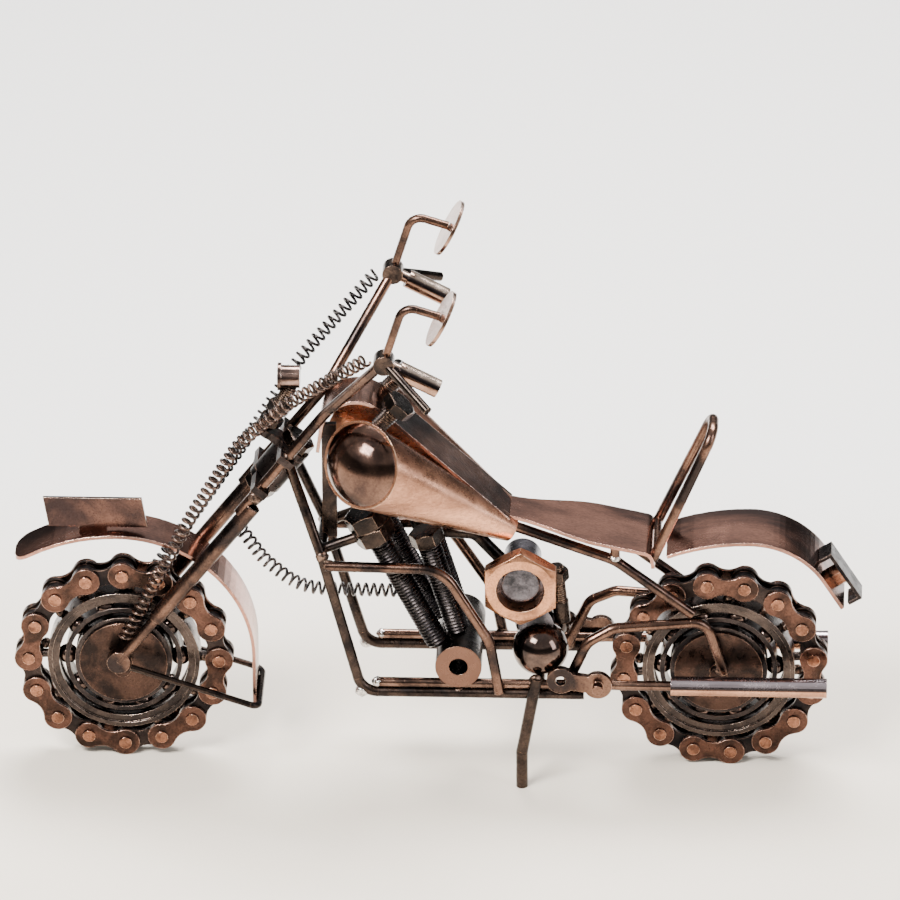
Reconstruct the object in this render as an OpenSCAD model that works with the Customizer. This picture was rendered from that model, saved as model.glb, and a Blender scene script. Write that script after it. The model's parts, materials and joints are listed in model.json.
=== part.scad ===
// Motorcycle sculpture: chain-and-bearing wheels, bent bar frame, bolt engine, sprung fork.
// Front is toward -X, the kickstand side is -Y, up is +Z. Ground is z = 0. Millimetres.
// Points written [x, z] or [x, y, z] are measured from the middle of the wheelbase at axle height.

/* [Wheels] */
// distance between the two axles
wheel_base = 203; // [170:1:240]
// roller chain pitch
chain_pitch = 12.7; // [9:0.1:16]
// links in one wheel
chain_links = 16; // [12:2:24]
// height of a chain plate
plate_height = 9.6; // [7:0.1:12]
// thickness of a chain plate
plate_thickness = 1.15; // [0.8:0.05:1.8]
// gap between the inner plates
chain_inner_width = 3.6; // [2.4:0.1:8]
// chain roller diameter
roller_d = 7.7; // [5:0.1:8.6]
// chain pin diameter
pin_d = 3.6; // [2.5:0.1:4.4]
// rivet head diameter on a pin
pin_head_d = 4.3; // [3:0.1:5.5]
// how far a rivet head stands out
pin_head_h = 0.7; // [0.3:0.1:1.5]
// clearance round a pin
pin_clearance = 0.05; // [0.02:0.01:0.1]
// angle of the first pin of the front wheel
front_phase = 90; // [60:0.5:120]
// angle of the first pin of the rear wheel
rear_phase = 97.3; // [60:0.5:120]
// outer diameter of a wheel bearing
bearing_od = 52; // [44:0.5:54]
// width of a wheel bearing
bearing_width = 9; // [7:0.5:12]
// diameter of the outer ring's shoulder
outer_shoulder_d = 44.2; // [42:0.1:46]
// radial width of the outer ring's raised rim
rim_width = 1.5; // [0.8:0.1:3]
// depth of the recess inside the raised rim
rim_recess = 0.9; // [0.3:0.1:1.4]
// diameter of the inner ring's shoulder
inner_shoulder_d = 33.2; // [31:0.1:35]
// bore of the inner ring
inner_bore_d = 25; // [20:0.5:28]
// diameter of the circle the balls run on
ball_circle_d = 38.5; // [36:0.1:40]
// bearing ball diameter
ball_d = 6.8; // [6:0.1:7.5]
// balls in one bearing
ball_count = 10; // [7:1:12]
// radial running clearance of a ball
ball_clearance = 0.07; // [0.02:0.01:0.1]
// width of the ball cage
cage_width = 7.6; // [7:0.1:8.6]
// radial thickness of the ball cage
cage_wall = 1.6; // [1:0.1:3]
// hub disc diameter
hub_disc_d = 30; // [26:0.5:32]
// hub disc thickness
hub_disc_t = 1.2; // [0.8:0.1:2]
// axle diameter
axle_d = 6; // [4:0.1:8]
// weld bead diameter between chain and bearing
bead_d = 3; // [2:0.1:3.4]

/* [Frame] */
// frame bar diameter
bar_d = 3.6; // [2.8:0.1:4.5]
// inside radius of the bends, to the bar's centre
bar_bend = 7; // [5:0.5:12]
// distance of a bottom rail from the middle plane
rail_y = 16.5; // [13:0.1:20]
// height of the bottom rails
rail_z = -3.6; // [-8:0.1:0]
// rear end of the bottom rails
rail_rear_x = 56; // [45:0.5:62]
// front corner of the bottom rails
rail_front_x = -19.5; // [-26:0.5:-12]
// kink of a down tube
down_kink = [-33, 13, 47]; // [-60:0.1:60]
// place of a down tube's top beside the neck, from the stem
down_top = [1.9, 5.9, 12.2]; // [-10:0.1:20]
// engine guard, start on the down tube
guard_start = [-31.6, 14.9, 44]; // [-60:0.1:60]
// engine guard, front corner
guard_knee = [8, 16.4, 44.1]; // [-60:0.1:60]
// engine guard, lower corner
guard_hip = [24, 18.4, 17.5]; // [-60:0.1:60]
// engine guard, foot
guard_foot = [27.4, 19.5, -1.8]; // [-60:0.1:60]
// bend radius of the engine guard
guard_bend = 13; // [8:0.5:16]
// seat stay, front end in the tank
seat_stay_front = [29.5, 6, 56.6]; // [-60:0.1:60]
// seat stay, middle corner under the post
seat_stay_middle = [66.3, 9, 44.6]; // [-70:0.1:70]
// seat stay, rear end from the rear axle
seat_stay_rear = [-8.9, 9, 24.3]; // [-20:0.1:40]
// chain stay, lower front end
chain_stay_front = [49.5, 15.4, -1.8]; // [-60:0.1:60]
// chain stay, first corner
chain_stay_rise = [57, 14.6, 15.5]; // [-60:0.1:60]
// chain stay, second corner
chain_stay_level = [66, 13, 20.4]; // [-70:0.1:70]
// chain stay, corner above the rear axle, from the rear axle
chain_stay_drop = [-4.3, 8.3, 21]; // [-20:0.1:40]
// chain stay, end on the rear axle, from the rear axle
chain_stay_end = [1.8, 7.9, 0.8]; // [-20:0.1:40]
// fore-and-aft places of the two floor bars
floor_bar_x = [13.4, 41]; // [0:0.1:50]
// heights of the two floor bars
floor_bar_z = [-3.6, 0.2]; // [-6:0.1:6]
// height of the bar between the down tubes
cross_bar_z = 47.6; // [40:0.1:54]
// width of the tab that carries the tank
tab_width = 5; // [3:0.1:8]
// thickness of the tab that carries the tank
tab_thickness = 2.4; // [1:0.1:4]
// height of the tab's top
tab_top_z = 91; // [88:0.5:93]
// middle of the tab, behind the bar between the down tubes
tab_behind = 2.4; // [0:0.1:4]

/* [Tank] */
// middle of a tank cone's mouth
mouth_centre = [-19, 17.7, 84.7]; // [-60:0.1:100]
// radius of a tank cone's mouth
mouth_r = 15; // [11:0.1:18]
// how far a mouth turns outward from straight ahead
mouth_turn = 56; // [40:1:70]
// how far a mouth tips upward
mouth_tip = 18; // [0:1:30]
// middle of a tank cone's rear end
cone_end = [30, 5.4, 54.6]; // [-60:0.1:60]
// radius of a tank cone's rear end
cone_end_r = 4.4; // [3:0.1:6]
// radius of a polished cap
cap_r = 14.2; // [10:0.1:17]
// height of a polished cap
cap_h = 7; // [4:0.1:10]
// half width of the band over the tank
band_half = 8.8; // [6:0.1:11]
// sheet thickness of the band
band_t = 1.2; // [0.8:0.1:2]
// rear end of the band
band_rear = [30.5, 59.3]; // [-60:0.1:60]
// slope of the band, from straight ahead
band_angle = 136.5; // [125:0.5:150]
// straight length of the band
band_straight = 59.5; // [50:0.5:70]
// radius over the front of the tank
band_radius = 12; // [8:0.5:16]
// turn over the front of the tank
band_turn = 125.5; // [90:0.5:140]
// straight length down the front of the tank
band_front = 9; // [4:0.5:12]
// filler bolt, foot beside the band
filler_foot = [-13.6, 11.4, 96]; // [-60:0.1:100]
// lean of a filler bolt toward the rear
filler_lean = 42; // [0:1:60]
// thread length of a filler bolt
filler_length = 9; // [6:0.5:16]
// filler bolt thread diameter
filler_d = 6; // [4:0.1:8]
// thickness of a filler bolt's head
filler_head_t = 4; // [2:0.1:6]

/* [Engine] */
// cylinder thread diameter
cylinder_d = 8; // [6:0.1:10]
// cylinder thread pitch
thread_pitch = 1.25; // [0.8:0.05:2]
// cylinder nut size across flats
front_nut_af = 13; // [10:0.1:14]
// rear cylinder head size across flats
rear_nut_af = 10; // [9:0.1:10.2]
// distance of the front cylinders from the middle plane
front_cylinder_y = 9.6; // [9:0.1:11]
// distance of the rear cylinders from the middle plane
rear_cylinder_y = 5.2; // [5.2:0.1:5.6]
// front cylinder, top of the thread
front_cylinder_top = [-13.9, 52.2]; // [-60:0.1:60]
// front cylinder, lower end
front_cylinder_foot = [6.2, 12]; // [-60:0.1:60]
// rear cylinder, top of the thread
rear_cylinder_top = [2.9, 48.4]; // [-60:0.1:60]
// rear cylinder, lower end
rear_cylinder_foot = [12.9, 14.6]; // [-60:0.1:60]
// thickness of a front cylinder nut
front_nut_t = 6; // [4:0.1:8]
// thickness of a rear cylinder head
rear_nut_t = 5; // [3:0.1:7]
// middle of the crankcase sleeve
sleeve_centre = [13.4, 7.4]; // [-60:0.1:60]
// outer diameter of the crankcase sleeve
sleeve_d = 15.8; // [13:0.1:16.4]
// bore of the crankcase sleeve
sleeve_bore = 6.4; // [4:0.1:10]
// length of the crankcase sleeve
sleeve_length = 36.8; // [34:0.1:40]
// middle of the gearbox nut
gearbox_centre = [34.4, 35.7]; // [-60:0.1:60]
// gearbox nut size across flats
gearbox_af = 24; // [20:0.1:24.4]
// thickness of the gearbox nut
gearbox_nut_t = 6.5; // [4:0.1:9]
// hole of the gearbox nut
gearbox_hole = 16.4; // [12:0.1:18]
// outer face of the gearbox nut, from the middle plane
gearbox_y = 15.5; // [13:0.1:17]
// diameter of the gearbox core
core_d = 12.6; // [9:0.1:15]
// ends of the gearbox core, from the middle plane
core_ends = [-11.5, 10]; // [-14:0.1:14]
// diameter of the flange behind the gearbox nut
flange_d = 18.4; // [17:0.1:22]
// thickness of the flange
flange_t = 2; // [1:0.1:4]
// diameter of the post between the two cores
core_post_d = 8; // [5:0.1:11]
// middle of the lower core
lower_core = [39.4, 20.5]; // [-60:0.1:60]
// diameter of the lower core
lower_core_d = 12; // [8:0.1:14]
// length of the lower core
lower_core_length = 22; // [16:0.1:26]
// middle of a clutch ball
clutch_ball = [41, 10, 10.8]; // [-60:0.1:60]
// clutch ball diameter
clutch_ball_d = 19; // [16:0.1:19.6]
// intake pipe diameter
intake_d = 4.4; // [3:0.1:6]
// intake pipe, end at the rear cylinders
intake_start = [8, 0, 50]; // [-60:0.1:60]
// intake pipe, corner
intake_knee = [18.5, 0, 49.5]; // [-60:0.1:60]
// intake pipe, end at the gearbox
intake_end = [29, 0, 37.6]; // [-60:0.1:60]
// oil bolt thread diameter
oil_bolt_d = 5; // [4:0.1:6]
// oil bolt, foot behind the lower core
oil_bolt_foot = [48.4, -5.8, 19]; // [-10:0.1:60]
// oil bolt, top
oil_bolt_top = [46.2, -5.8, 40.6]; // [-10:0.1:60]

/* [Footgear] */
// foot link, front pin
foot_link_front = [48.2, 3.6]; // [-60:0.1:60]
// tilt of a foot link, down toward the rear
foot_link_tilt = 8; // [0:1:30]
// inner face of a foot link, from the middle plane
foot_link_y = 18.2; // [17:0.1:22]
// length of a foot link's pin
foot_pin_length = 4.4; // [3:0.1:8]
// kickstand rod diameter
kickstand_d = 4; // [3:0.1:5]
// kickstand, top
kickstand_top = [40, 19.6, 4]; // [-60:0.1:60]
// kickstand, knee
kickstand_knee = [35, 21, -24]; // [-60:0.1:60]
// exhaust pipe diameter
exhaust_d = 3.4; // [2.8:0.1:4]
// height of the exhaust pipes
exhaust_z = 0.1; // [-2:0.1:2]
// front end of the exhaust pipes
exhaust_front_x = -15; // [-20:0.5:0]
// front end of a muffler, from the rear axle
muffler_front = -16; // [-26:0.5:-8]
// muffler length
muffler_length = 53; // [40:0.5:64]
// muffler diameter
muffler_d = 6.7; // [5:0.1:8]
// muffler bore
muffler_bore = 5; // [3:0.1:6]
// thickness of a muffler's closed front
muffler_wall = 3; // [1:0.5:6]

/* [Seat and rear fender] */
// front end of the seat
seat_front = [30.6, 59.6]; // [-60:0.1:70]
// length of the seat
seat_length = 47; // [40:0.5:52]
// slope of the seat
seat_slope = -12.2; // [-20:0.1:0]
// half width of the seat at the tank
seat_nose_half = 7; // [5:0.1:10]
// half width of the seat at the back
seat_tail_half = 13.8; // [10:0.1:17]
// sheet thickness of the seat and fenders
sheet_t = 1.2; // [0.8:0.1:2]
// drop of the seat's rear lip
seat_lip = 3; // [1:0.5:6]
// rear fender, front end from the rear axle
rear_fender_front = [-17.6, 47.6]; // [-40:0.1:60]
// slope at the front of the rear fender
rear_fender_rise = 22; // [10:1:30]
// radius of the rear fender's front part
rear_fender_r1 = 74; // [50:1:100]
// radius of the rear fender's tail
rear_fender_r2 = 30; // [20:1:40]
// turn of the rear fender's tail
rear_fender_turn = 58; // [40:1:70]
// straight length of the rear fender's tail
rear_fender_tail = 12; // [6:0.5:20]
// half width of the rear fender
rear_fender_half = 12; // [8:0.1:15]
// backrest bar diameter
backrest_d = 3.5; // [2.8:0.1:4.5]
// backrest, foot from the rear axle
backrest_foot = [-22.4, 11.2, 46.6]; // [-40:0.1:60]
// backrest, top corner from the rear axle
backrest_top = [-2.4, 7.6, 93]; // [-40:0.1:110]
// how far the tail light channel reaches past the fender's end
tail_ahead = 3.5; // [0:0.1:8]
// length of the tail light channel
tail_length = 20; // [14:0.5:26]
// height of the tail light channel
tail_height = 5; // [3:0.1:8]
// width of the tail light channel
tail_width = 9; // [6:0.1:14]
// tail light nut size across flats
tail_nut_af = 7; // [5:0.1:8]

/* [Fork] */
// rake of the steering axis from upright
rake = 37.4; // [30:0.1:45]
// axle to lower clamp, along the steering axis
fork_length = 84.4; // [70:0.1:100]
// axle ahead of the steering axis
fork_offset = -3; // [-6:0.1:5]
// fork tubes ahead of the steering axis
leg_offset = 0; // [-2:0.1:8]
// distance of the fork tubes from the middle plane
leg_y = 10.8; // [10:0.1:13]
// fork tube outer diameter
leg_d = 5.6; // [4.6:0.1:6]
// fork tube bore
leg_bore = 4.2; // [3:0.1:4.6]
// depth of the fork tube bore
leg_bore_depth = 12; // [6:0.5:20]
// diameter of the rod below a fork tube
foot_rod_d = 3.8; // [3:0.1:4.6]
// length of the rod below a fork tube
foot_rod_length = 21; // [12:0.5:30]
// fork tube top, below the lower clamp
leg_top_gap = 5.7; // [3:0.1:10]
// flattened foot diameter
foot_pad_d = 8; // [6:0.1:10]
// handlebar rods ahead of the steering axis
upper_offset = 2.2; // [1:0.1:8]
// how deep a handlebar rod sits in its fork tube
upper_lap = 5; // [3:0.5:9]
// height above the lower clamp where the handlebar rods part
flare_start = 38; // [26:0.5:46]
// handlebar end, from the lower clamp, in steering axis directions
bar_end = [-4.6, 32.6, 76]; // [-90:0.1:90]
// clamp plate thickness
clamp_t = 2.6; // [1.5:0.1:4]
// height of the upper clamp above the lower one
clamp_gap = 14.6; // [14:0.1:18]
// clearance between the neck sleeve and a clamp
neck_gap = 0.3; // [0.1:0.05:0.6]
// steering bolt diameter
stem_d = 8; // [6:0.1:9]
// radial clearance of the steering bolt
stem_clearance = 0.08; // [0.02:0.01:0.1]
// neck sleeve outer diameter
neck_d = 12; // [10.5:0.1:13]
// steering nut size across flats
stem_nut_af = 10; // [8:0.1:11]
// steering nut thickness
stem_nut_t = 4; // [2:0.1:5]
// fork spring outer diameter
spring_d = 5; // [3.6:0.1:6]
// fork spring, foot: ahead of, outside and above the end of its fork tube
spring_foot = [-3.8, 0.6, 9.4]; // [-20:0.1:20]
// left fork spring, lower bend, from the lower clamp
left_spring_low = [-14.9, 13, -20]; // [-60:0.1:60]
// left fork spring, middle bend
left_spring_middle = [-19.2, 14.6, 13]; // [-60:0.1:60]
// left fork spring, upper bend
left_spring_high = [-16.4, 19.2, 38]; // [-60:0.1:60]
// right fork spring, lower bend, from the lower clamp
right_spring_low = [-9, 13, -14]; // [-60:0.1:60]
// right fork spring, middle bend
right_spring_middle = [-10.8, 14.8, 10]; // [-60:0.1:60]
// right fork spring, upper bend
right_spring_high = [-13, 20, 37]; // [-60:0.1:60]
// fork spring, top end from the handlebar end
spring_tip = [-4.6, -1.5, -3]; // [-20:0.1:20]
// radius of the fork springs' bends
spring_bend = 40; // [20:1:60]
// cable spring, start behind the left fork tube, from the lower clamp
cable_start = [1.9, -5.4, -17.1]; // [-30:0.1:30]
// cable spring, first bend
cable_low = [-53, -6, 41.6]; // [-70:0.1:60]
// cable spring, second bend
cable_knee = [-40.5, -5.6, 30.2]; // [-70:0.1:60]
// cable spring, end at the front cylinders
cable_end = [-5.4, -4.4, 29]; // [-70:0.1:60]
// radius of the cable spring's bends
cable_bend = 22; // [10:1:40]
// headlight, middle of the shell
headlight_centre = [-43.3, 108.6]; // [-80:0.1:130]
// headlight shell diameter
headlight_d = 7.8; // [6:0.1:12]
// headlight shell length
headlight_length = 6.4; // [5:0.1:12]
// headlight rim diameter
rim_d = 9.4; // [7:0.1:14]
// thickness of the headlight rim
lamp_rim_t = 1.2; // [0.6:0.1:2]
// headlight bolt diameter
lamp_bolt_d = 5; // [3:0.1:6]
// headlight bolt ahead of the steering axis
lamp_ahead = 11.5; // [10:0.1:14]
// size of the headlight bolt's nuts across flats
lamp_nut_af = 7; // [5:0.1:8]

/* [Handlebar] */
// clamp knob diameter
knob_d = 7; // [5:0.1:9]
// clamp knob width
knob_width = 6; // [4:0.1:9]
// grip diameter
grip_d = 6.4; // [4:0.1:8]
// how far the rods stop short of a knob's middle
knob_core = 2.2; // [1.8:0.1:3]
// diameter of the stub between knob and grip
grip_stub_d = 4; // [3:0.1:5]
// grip, front end from the handlebar end
grip_start = [4.8, -2.6]; // [-20:0.1:20]
// grip, rear end from the handlebar end
grip_end = [18, -9.6]; // [-30:0.1:30]
// lever rod diameter
lever_d = 3.2; // [2:0.1:4]
// lever, tip from the handlebar end
lever_tip = [15.2, 15.4, -10]; // [-30:0.1:30]
// mirror stalk diameter
stalk_d = 2.8; // [2:0.1:4]
// mirror stalk, corner from the handlebar end
stalk_knee = [6.6, 21.5]; // [-30:0.1:40]
// radius of a mirror stalk's bend
stalk_bend = 4.6; // [3:0.1:7]
// mirror, middle from the handlebar end
mirror_centre = [19.2, 16.8]; // [-30:0.1:40]
// mirror stalk's end on the mirror's back, from the mirror's middle
mirror_back = [-0.5, 0.8]; // [-3:0.1:3]
// mirror diameter
mirror_d = 20; // [14:0.1:26]
// mirror thickness
mirror_t = 1.2; // [0.8:0.1:2]
// lean of a mirror from upright
mirror_lean = 28; // [0:1:40]

/* [Front fender] */
// front fender, lower rear end from the front axle
fender_rear = [44.8, -14]; // [30:0.1:60]
// straight length at the back of the front fender
fender_straight = 18; // [8:0.5:26]
// radius over the wheel
fender_r1 = 46; // [42:0.5:52]
// radius toward the tip
fender_r2 = 63; // [50:1:90]
// turn toward the tip
fender_turn = 28; // [10:1:40]
// straight length at the tip
fender_tip = 6; // [4:0.5:16]
// half width of the front fender
fender_half = 8.15; // [6:0.05:10]
// radius of the corners at the front fender's tip
fender_corner = 5; // [1:0.1:6]
// number plate length
plate_length = 33.5; // [20:0.5:45]
// number plate height
plate_rise = 11; // [6:0.5:16]
// how far the number plate's lower edge is set back from its upper edge
plate_slant = 1.8; // [0:0.1:4]
// number plate neck width
plate_neck = 9.5; // [5:0.5:15]
// number plate, middle from the front axle
number_centre = -9.5; // [-20:0.5:5]
// number plate, lower edge above the axle
number_base = 51.6; // [50:0.1:58]
// how deep the number plate's neck reaches down to the fender
plate_sink = 3.6; // [2:0.1:5]
// number plate, distance from the middle plane
number_y = 3; // [0:0.5:5]
// fender stay diameter
stay_d = 2.2; // [1.6:0.1:3]
// fender stay, front end from the front axle
stay_start = [3, 2.4]; // [-4:0.1:4]
// height of the fender stay above the fender's lower edge
stay_rise = 1.4; // [0:0.1:6]

/* [Hidden] */
$fn = 96;
bend_swell = 0.06;
bend_lap = 0.1;
joint_lap = 0.1;
weld_lap = 0.5;
seat_lip_r = 3;
seat_lip_turn = 70;
sides = [-1, 1];
metal_dark = [0.16, 0.13, 0.12];
metal_brown = [0.34, 0.22, 0.17];
metal_copper = [0.72, 0.42, 0.28];
metal_sheet = [0.66, 0.5, 0.46];

pin_circle_r = chain_pitch / (2 * sin(180 / chain_links));
inner_plate_y = chain_inner_width / 2 + plate_thickness / 2;
outer_plate_y = inner_plate_y + plate_thickness;
plates_y = outer_plate_y + plate_thickness / 2;
hub_y = bearing_width / 2 + hub_disc_t;

function unit(v) = v / norm(v);
function turn_of(a, b) = acos(max(-1, min(1, a * b)));
function with_side(p, s) = [p[0], s * p[1], p[2]];
function lowest(phase) =
  pin_circle_r * max([for (k = [0:chain_links - 1]) -sin(phase - k * 360 / chain_links)]);

axle_height = lowest(front_phase) + plate_height / 2;
front_axle = [-wheel_base / 2, 0, 0];
rear_axle = [wheel_base / 2, 0, lowest(rear_phase) - lowest(front_phase)];

stem_base = front_axle + to_world([fork_offset, 0, fork_length]);
function to_world(p) = [p[0] * cos(rake) + p[2] * sin(rake), p[1], p[2] * cos(rake) - p[0] * sin(rake)];
function from_stem(p) = stem_base + to_world(p);
function from_rear(p) = rear_axle + p;
function bar_tip(s) = from_stem(with_side(bar_end, s));
function from_bar(p, s) = bar_tip(s) + [p[0], 0, p[1]];

// a smooth line of [length, turn] pieces in the x-z plane
function walk(from, heading, pieces, step = 4, i = 0) =
  i >= len(pieces) ? [from] :
  let (count = max(1, ceil(abs(pieces[i][1]) / step)),
       turn = pieces[i][1] / count,
       stride = pieces[i][0] / count,
       points = [for (k = 0, p = from; k <= count; k = k + 1,
         p = p + stride * [cos(heading + turn * (k - 0.5)), sin(heading + turn * (k - 0.5))]) p])
  concat([for (k = [0:count - 1]) points[k]],
         walk(points[count], heading + pieces[i][1], pieces, step, i + 1));
function side_normal(points, i) =
  let (a = points[max(0, i - 1)], b = points[min(len(points) - 1, i + 1)], d = unit(b - a)) [-d[1], d[0]];
function arc_length(radius, turn) = radius * abs(turn) * PI / 180;

fender_line = walk([front_axle[0] + fender_rear[0], fender_rear[1]], 90, [[fender_straight, 0],
  [arc_length(fender_r1, 90), 90], [arc_length(fender_r2, fender_turn), fender_turn], [fender_tip, 0]]);
fender_tip_x = fender_line[len(fender_line) - 1][0];
rear_fender_line = walk([rear_axle[0] + rear_fender_front[0], rear_fender_front[1]], rear_fender_rise,
  [[arc_length(rear_fender_r1, rear_fender_rise), -rear_fender_rise],
   [arc_length(rear_fender_r2, rear_fender_turn), -rear_fender_turn], [rear_fender_tail, 0]]);
tail_end = rear_fender_line[len(rear_fender_line) - 1];
tail_tip_x = tail_end[0] + tail_ahead * cos(rear_fender_turn)
  + (sheet_t / 2 + tail_height) * sin(rear_fender_turn);
middle_x = (fender_tip_x + tail_tip_x) / 2;

module strip(points, thickness, width) {
  last = len(points) - 1;
  above = [for (i = [0:last]) points[i] + side_normal(points, i) * thickness / 2];
  below = [for (i = [last:-1:0]) points[i] - side_normal(points, i) * thickness / 2];
  rotate([90, 0, 0]) linear_extrude(width, center = true) polygon(concat(above, below));
}

module frame_of(u, v, w, at) {
  multmatrix([[u[0], v[0], w[0], at[0]], [u[1], v[1], w[1], at[1]], [u[2], v[2], w[2], at[2]], [0, 0, 0, 1]])
    children();
}

module along(from, dir) {
  side = abs(dir[1]) > 0.9 ? [1, 0, 0] : [0, 1, 0];
  u = unit(cross(side, dir));
  frame_of(u, cross(dir, u), dir, from) children();
}

// a round bar through the points, bent with the given radius
module rod(points, d, bend = bar_bend) {
  last = len(points) - 1;
  dirs = [for (i = [0:last - 1]) unit(points[i + 1] - points[i])];
  cuts = [for (i = [0:last]) i == 0 || i == last ? 0 : bend * tan(turn_of(dirs[i - 1], dirs[i]) / 2)];
  laps = [for (i = [0:last]) i == 0 || i == last ? 0 : bend_lap];
  for (i = [0:last - 1])
    along(points[i] + dirs[i] * (cuts[i] - laps[i]), dirs[i])
      cylinder(d = d, h = norm(points[i + 1] - points[i]) - cuts[i] - cuts[i + 1] + laps[i] + laps[i + 1]);
  if (last > 1) for (i = [1:last - 1]) {
    n = unit(cross(dirs[i - 1], dirs[i]));
    u = cross(dirs[i - 1], n);
    frame_of(u, dirs[i - 1], n, points[i] - dirs[i - 1] * cuts[i] - u * bend)
      rotate_extrude(angle = turn_of(dirs[i - 1], dirs[i])) translate([bend, 0]) circle(d = d + bend_swell);
  }
}

module across(d, length, at = [0, 0, 0]) {
  translate(at) rotate([90, 0, 0]) cylinder(d = d, h = length, center = true);
}

module ring(od, id, length, at = [0, 0, 0]) {
  difference() {
    across(od, length, at);
    across(id, 2 * length, at);
  }
}

// a hexagon nut body with its corners turned down, from z = 0 upward
module hexagon(af, thickness) {
  corner = af / cos(30) / 2;
  land = af * 0.475;
  intersection() {
    cylinder(r = corner, h = thickness, $fn = 6);
    rotate_extrude() polygon([[0, 0], [land, 0], [corner, (corner - land) * 0.5],
      [corner, thickness - (corner - land) * 0.5], [land, thickness], [0, thickness]]);
  }
}

// a threaded shank from z = 0 upward, cut as rings
module thread(d, pitch, length) {
  teeth = floor(length / pitch);
  root = d / 2 - pitch * 0.5;
  lead = (length - teeth * pitch) / 2;
  rotate_extrude() polygon(concat(
    [[0, 0], [root, 0]],
    [for (k = [0:teeth - 1], e = [0, 1])
      e == 0 ? [root, lead + k * pitch] : [d / 2, lead + (k + 0.5) * pitch]],
    [[root, lead + teeth * pitch], [root, length], [0, length]]));
}

module stem() {
  translate(stem_base) rotate([0, rake, 0]) children();
}

module stand() {
  translate([-middle_x, 0, axle_height]) children();
}

module at_pins(phase, first = 0, stride = 1) {
  for (k = [first:stride:chain_links - 1])
    rotate([0, -(phase - k * 360 / chain_links), 0]) translate([pin_circle_r, 0, 0]) children();
}

module plate(y, hole) {
  waist = plate_height * 0.78;
  relief_r = chain_pitch * 0.5;
  link_turn = 90 + 180 / chain_links;
  rotate([0, link_turn, 0]) translate([0, y, 0]) rotate([90, 0, 0])
    linear_extrude(plate_thickness, center = true) difference() {
      union() {
        circle(d = plate_height);
        translate([chain_pitch, 0]) circle(d = plate_height);
        translate([0, -waist / 2]) square([chain_pitch, waist]);
      }
      for (x = [0, chain_pitch]) translate([x, 0]) circle(d = hole);
      for (s = sides) translate([chain_pitch / 2, s * (waist / 2 + relief_r * 0.86)]) circle(r = relief_r);
    }
}

module outer_links(axle, phase) {
  translate(axle) for (s = sides)
    at_pins(phase, 0, 2) plate(s * outer_plate_y, pin_d + 2 * pin_clearance);
}

module inner_links(axle, phase) {
  translate(axle) {
    for (s = sides) at_pins(phase, 1, 2) plate(s * inner_plate_y, pin_d + 2 * pin_clearance);
    at_pins(phase) ring(roller_d, pin_d + 4 * pin_clearance, chain_inner_width + bend_swell);
  }
}

module chain_pins(axle, phase) {
  translate(axle) at_pins(phase) {
    across(pin_d, 2 * plates_y);
    for (s = sides) across(pin_head_d, pin_head_h, [0, s * (plates_y + pin_head_h / 2), 0]);
  }
}

module raceway() {
  rotate([90, 0, 0]) rotate_extrude()
    translate([ball_circle_d / 2, 0]) circle(r = ball_d / 2 + ball_clearance);
}

module outer_race(axle, phase) {
  bead_start = bearing_od / 2 - weld_lap;
  bead_end = pin_circle_r - roller_d / 2 + weld_lap;
  recess_y = bearing_width / 2 - rim_recess;
  translate(axle) {
    difference() {
      across(bearing_od, bearing_width);
      across(outer_shoulder_d, 2 * bearing_width);
      for (s = sides)
        across(bearing_od - 2 * rim_width, bearing_width, [0, s * (recess_y + bearing_width / 2), 0]);
      raceway();
    }
    at_pins(phase, 0, 4) translate([bead_start - pin_circle_r, 0, 0]) rotate([0, 90, 0])
      cylinder(d = bead_d, h = bead_end - bead_start);
  }
}

module inner_race(axle) {
  translate(axle) difference() {
    across(inner_shoulder_d, bearing_width);
    across(inner_bore_d, 2 * bearing_width);
    raceway();
  }
}

module at_balls() {
  for (k = [0:ball_count - 1])
    rotate([0, k * 360 / ball_count, 0]) translate([ball_circle_d / 2, 0, 0]) children();
}

module balls(axle) {
  translate(axle) at_balls() sphere(d = ball_d);
}

module cage(axle) {
  translate(axle) difference() {
    ring(ball_circle_d + cage_wall, ball_circle_d - cage_wall, cage_width);
    at_balls() sphere(d = ball_d - 2 * bend_swell);
  }
}

module hub(axle, reach) {
  translate(axle) {
    across(axle_d, 2 * reach);
    for (s = sides) across(hub_disc_d, hub_disc_t, [0, s * (hub_y - hub_disc_t / 2), 0]);
  }
}

module down_tubes() {
  color(metal_dark) stand() for (s = sides)
    rod([from_stem(with_side([down_top[0], down_top[1], down_top[2]], s)), with_side(down_kink, s),
         [rail_front_x, s * rail_y, rail_z], [rail_rear_x, s * rail_y, rail_z]], bar_d);
}

module engine_guards() {
  color(metal_brown) stand() for (s = sides)
    rod([for (p = [guard_start, guard_knee, guard_hip, guard_foot]) with_side(p, s)], bar_d, guard_bend);
}

module neck_sleeve() {
  color(metal_dark) stand() stem() translate([0, 0, clamp_t + neck_gap]) difference() {
    cylinder(d = neck_d, h = clamp_gap - clamp_t - 2 * neck_gap);
    translate([0, 0, -1]) cylinder(d = stem_d + 2 * stem_clearance, h = clamp_gap);
  }
}

module cross_bars() {
  kink_line = down_kink[1] - 0.3;
  color(metal_dark) stand() {
    across(bar_d, 2 * kink_line, [down_kink[0], 0, cross_bar_z]);
    translate([down_kink[0] + tab_behind - tab_width / 2, -tab_thickness / 2, cross_bar_z])
      cube([tab_width, tab_thickness, tab_top_z - cross_bar_z]);
    for (s = sides)
      rod([[down_kink[0], s * front_cylinder_y, cross_bar_z],
           [front_cylinder_top[0] - 3, s * front_cylinder_y, front_cylinder_top[1] + 2]], bar_d);
    for (i = [0, 1]) across(bar_d, 2 * rail_y, [floor_bar_x[i], 0, floor_bar_z[i]]);
  }
}

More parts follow.
